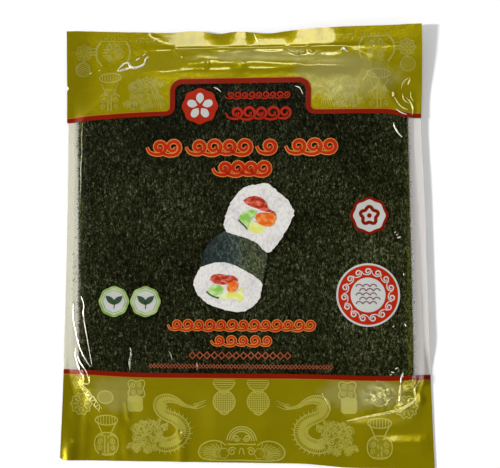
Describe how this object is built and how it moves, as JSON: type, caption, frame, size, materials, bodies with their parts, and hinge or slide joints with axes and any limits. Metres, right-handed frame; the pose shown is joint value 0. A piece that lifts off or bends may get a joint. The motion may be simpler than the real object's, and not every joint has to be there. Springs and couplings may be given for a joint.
{
  "type": "sealed pouch of nori sheets",
  "caption": "Flat sealed film pouch of roasted seaweed sheets: clear window over the dark stack, gold printed header and footer with red lines, tear notch.",
  "frame": {"origin": "centre of the pouch's bounding box, at the table that its back lies on", "axes": "+Z out of the printed front, +Y towards the header seal, +X to the right of the front"},
  "size_m": [0.2377, 0.2804, 0.0074],
  "materials": {
    "clear_film": "thin clear glossy film",
    "gold_print": "olive gold ink under glossy film, faintly metallic",
    "pale_gold_print": "paler tone of the gold ink, for the ornaments",
    "red_print": "red ink under glossy film",
    "orange_print": "orange ink, for outlines and small bands",
    "pale_print": "off-white ink",
    "green_print": "leaf green ink",
    "nori": "rough dark green-black pressed seaweed, faintly shiny"
  },
  "bodies": {
    "root": {"nori_pouch": "gold_print"}
  },
  "joints": []
}
